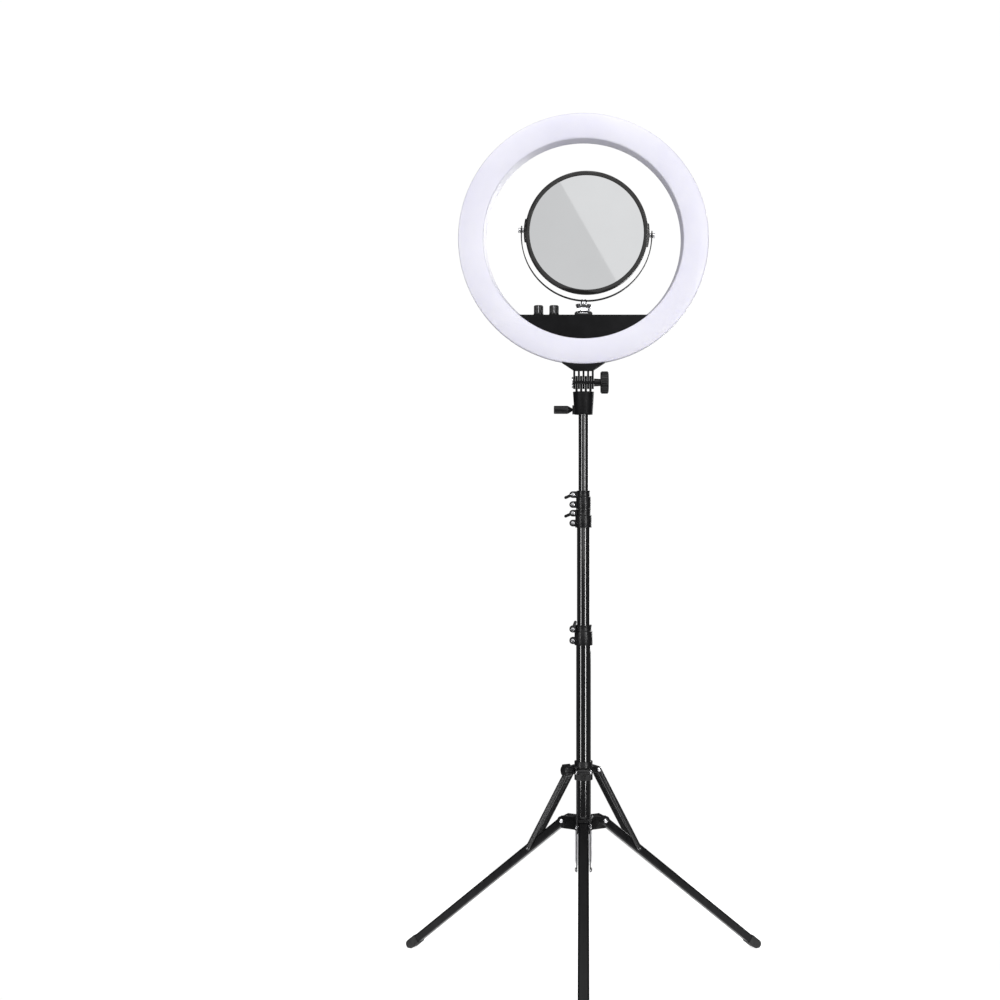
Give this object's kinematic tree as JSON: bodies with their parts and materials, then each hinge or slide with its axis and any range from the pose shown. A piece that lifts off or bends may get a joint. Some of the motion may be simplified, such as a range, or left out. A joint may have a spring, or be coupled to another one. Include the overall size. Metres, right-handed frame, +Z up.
{
  "type": "ring light",
  "caption": "Ring light with a milky annular diffuser, control box and tilting vanity mirror in its hole, on a telescopic stand with reverse-folding legs",
  "frame": {"origin": "centre of the bounding box on the floor", "axes": "+Z up; the light and the front leg face -Y; +X is to the right seen from the front"},
  "size_m": [0.726, 0.6288, 1.6483],
  "materials": {
    "milky_diffuser": "satin milky acrylic",
    "black_abs": "fine-textured moulded",
    "gloss_black": "gloss anodised",
    "satin_black": "satin powder coat",
    "clamp_black": "semi-gloss glass-filled nylon",
    "rivet_steel": "bright plated",
    "shoe_chrome": "polished plated",
    "rubber": "matte",
    "cap_white": "natural moulded",
    "mirror_silver": "silvered glass",
    "spreader_alu": "mill",
    "board_white": "solder mask",
    "led_yellow": "phosphor",
    "board_green": "solder mask",
    "pot_metal": "stamped",
    "switch_red": "gloss",
    "screw_black": "black oxide",
    "liner_grey": "acetal",
    "spigot_metal": "turned"
  },
  "bodies": {
    "stand_base": {"base_tube": "gloss_black", "tube_cap": "cap_white", "leg_hub": "clamp_black", "hub_pins": "rivet_steel", "base_clamp": "clamp_black", "base_liner": "liner_grey", "base_bolts": "rivet_steel"},
    "base_lever": {"base_lever": "clamp_black"},
    "brace_collar": {"brace_collar": "clamp_black", "collar_pins": "rivet_steel"},
    "collar_knob": {"collar_knob": "black_abs"},
    "third_section": {"third_tube": "gloss_black", "third_clamp": "clamp_black", "third_liner": "liner_grey", "third_bolts": "rivet_steel"},
    "third_lever": {"third_lever": "clamp_black"},
    "second_section": {"second_tube": "gloss_black", "second_clamp": "clamp_black", "second_liner": "liner_grey", "second_bolts": "rivet_steel"},
    "second_lever": {"second_lever": "clamp_black"},
    "top_section": {"top_tube": "gloss_black", "spigot": "spigot_metal"},
    "tilt_socket": {"tilt_socket": "black_abs", "tilt_bolt": "rivet_steel"},
    "socket_screw": {"socket_screw": "black_abs"},
    "tilt_knob": {"tilt_knob": "black_abs"},
    "ring_head": {"diffuser": "milky_diffuser", "rear_housing": "black_abs", "heat_spreader": "spreader_alu", "led_board": "board_white", "leds": "led_yellow", "head_screws": "screw_black", "control_box": "black_abs", "box_cover": "black_abs", "driver_board": "board_green", "potentiometers": "pot_metal", "switch_bezel": "black_abs", "dc_inlet": "black_abs", "cold_shoe": "satin_black", "mount_bracket": "black_abs", "shoe_foot": "shoe_chrome"},
    "dimmer_knob": {"dimmer_knob": "black_abs"},
    "colour_knob": {"colour_knob": "black_abs"},
    "switch_rocker": {"switch_rocker": "switch_red"},
    "lock_disc": {"lock_disc": "shoe_chrome"},
    "mirror_bail": {"mirror_bail": "satin_black"},
    "pivot_screws": {"pivot_screws": "shoe_chrome"},
    "mirror": {"mirror_frame": "clamp_black", "mirror_glass": "mirror_silver", "magnifier_glass": "mirror_silver"},
    "front_leg": {"front_leg": "satin_black", "front_foot": "rubber"},
    "front_brace": {"front_brace": "satin_black"},
    "right_leg": {"right_leg": "satin_black", "right_foot": "rubber"},
    "right_brace": {"right_brace": "satin_black"},
    "left_leg": {"left_leg": "satin_black", "left_foot": "rubber"},
    "left_brace": {"left_brace": "satin_black"}
  },
  "joints": [
    {"name": "front_leg_fold", "type": "hinge", "parent": "stand_base", "child": "front_leg", "pos_m": [0, 0.05645, 0.30101], "axis": [-1, 0, 0], "range_deg": [0, 129]},
    {"name": "right_leg_fold", "type": "hinge", "parent": "stand_base", "child": "right_leg", "pos_m": [0.03637, 0.11945, 0.30101], "axis": [0.5, -0.866, 0], "range_deg": [0, 129]},
    {"name": "left_leg_fold", "type": "hinge", "parent": "stand_base", "child": "left_leg", "pos_m": [-0.03637, 0.11945, 0.30101], "axis": [0.5, 0.866, 0], "range_deg": [0, 129]},
    {"name": "collar_slide", "type": "slide", "parent": "stand_base", "child": "brace_collar", "axis": [0, 0, 1], "range_m": [0, 0.18153]},
    {"name": "front_brace_swing", "type": "hinge", "parent": "brace_collar", "child": "front_brace", "pos_m": [0, 0.07145, 0.40048], "axis": [1, 0, 0], "range_deg": [0, 24.75]},
    {"name": "right_brace_swing", "type": "hinge", "parent": "brace_collar", "child": "right_brace", "pos_m": [0.02338, 0.11195, 0.40048], "axis": [-0.5, 0.866, 0], "range_deg": [0, 24.75]},
    {"name": "left_brace_swing", "type": "hinge", "parent": "brace_collar", "child": "left_brace", "pos_m": [-0.02338, 0.11195, 0.40048], "axis": [-0.5, -0.866, 0], "range_deg": [0, 24.75]},
    {"name": "collar_knob_turn", "type": "hinge", "parent": "brace_collar", "child": "collar_knob", "pos_m": [-0.02598, 0.08345, 0.40198], "axis": [-0.866, -0.5, 0], "range_deg": [0, 360]},
    {"name": "third_slide", "type": "slide", "parent": "stand_base", "child": "third_section", "axis": [0, 0, 1], "range_m": [-0.172, 0.15]},
    {"name": "second_slide", "type": "slide", "parent": "third_section", "child": "second_section", "axis": [0, 0, 1], "range_m": [0, 0.32]},
    {"name": "top_slide", "type": "slide", "parent": "second_section", "child": "top_section", "axis": [0, 0, 1], "range_m": [-0.144, 0.19]},
    {"name": "base_lever_flip", "type": "hinge", "parent": "stand_base", "child": "base_lever", "pos_m": [-0.0205, 0.09015, 0.66841], "axis": [0, 1, 0], "range_deg": [-133, 0]},
    {"name": "third_lever_flip", "type": "hinge", "parent": "third_section", "child": "third_lever", "pos_m": [-0.0205, 0.09015, 0.88891], "axis": [0, 1, 0], "range_deg": [0, 80]},
    {"name": "second_lever_flip", "type": "hinge", "parent": "second_section", "child": "second_lever", "pos_m": [-0.0205, 0.09015, 0.92421], "axis": [0, 1, 0], "range_deg": [0, 133]},
    {"name": "head_pan", "type": "hinge", "parent": "top_section", "child": "tilt_socket", "pos_m": [0, 0.09845, 1.07681], "axis": [0, 0, 1], "continuous": true},
    {"name": "socket_screw_turn", "type": "hinge", "parent": "tilt_socket", "child": "socket_screw", "pos_m": [-0.03, 0.09845, 1.08571], "axis": [1, 0, 0], "range_deg": [0, 360]},
    {"name": "head_tilt", "type": "hinge", "parent": "tilt_socket", "child": "ring_head", "pos_m": [0, 0.09845, 1.13781], "axis": [1, 0, 0], "range_deg": [-90, 90]},
    {"name": "tilt_knob_turn", "type": "hinge", "parent": "tilt_socket", "child": "tilt_knob", "pos_m": [0.04, 0.09845, 1.13781], "axis": [1, 0, 0], "range_deg": [0, 360]},
    {"name": "dimmer_turn", "type": "hinge", "parent": "ring_head", "child": "dimmer_knob", "pos_m": [-0.0855, 0.09645, 1.26581], "axis": [0, 0, 1], "range_deg": [-150, 150]},
    {"name": "colour_turn", "type": "hinge", "parent": "ring_head", "child": "colour_knob", "pos_m": [-0.056, 0.09645, 1.26581], "axis": [0, 0, 1], "range_deg": [-150, 150]},
    {"name": "switch_rock", "type": "hinge", "parent": "ring_head", "child": "switch_rocker", "pos_m": [0.03, 0.11245, 1.24981], "axis": [1, 0, 0], "range_deg": [-16, 0]},
    {"name": "lock_disc_turn", "type": "hinge", "parent": "ring_head", "child": "lock_disc", "pos_m": [0.0005, 0.09645, 1.2788], "axis": [0.0384, 0, 0.9993], "range_deg": [0, 360]},
    {"name": "bail_swivel", "type": "hinge", "parent": "ring_head", "child": "mirror_bail", "pos_m": [0.001, 0.09645, 1.29179], "axis": [0.0384, 0, 0.9993], "continuous": true},
    {"name": "mirror_tilt", "type": "hinge", "parent": "mirror_bail", "child": "mirror", "pos_m": [0.00601, 0.09645, 1.4222], "axis": [0.9993, 0, -0.0384], "continuous": true},
    {"name": "pivot_screw_turn", "type": "hinge", "parent": "mirror_bail", "child": "pivot_screws", "pos_m": [0.00601, 0.09645, 1.4222], "axis": [0.9993, 0, -0.0384], "range_deg": [0, 360]}
  ],
  "couplings": [
    {"joint": "right_leg_fold", "follows": "front_leg_fold", "ratio": 1},
    {"joint": "left_leg_fold", "follows": "front_leg_fold", "ratio": 1},
    {"joint": "collar_slide", "follows": "front_leg_fold", "m_per_rad": 0.080621},
    {"joint": "front_brace_swing", "follows": "front_leg_fold", "ratio": 0.19178},
    {"joint": "right_brace_swing", "follows": "front_leg_fold", "ratio": 0.19178},
    {"joint": "left_brace_swing", "follows": "front_leg_fold", "ratio": 0.19178}
  ]
}
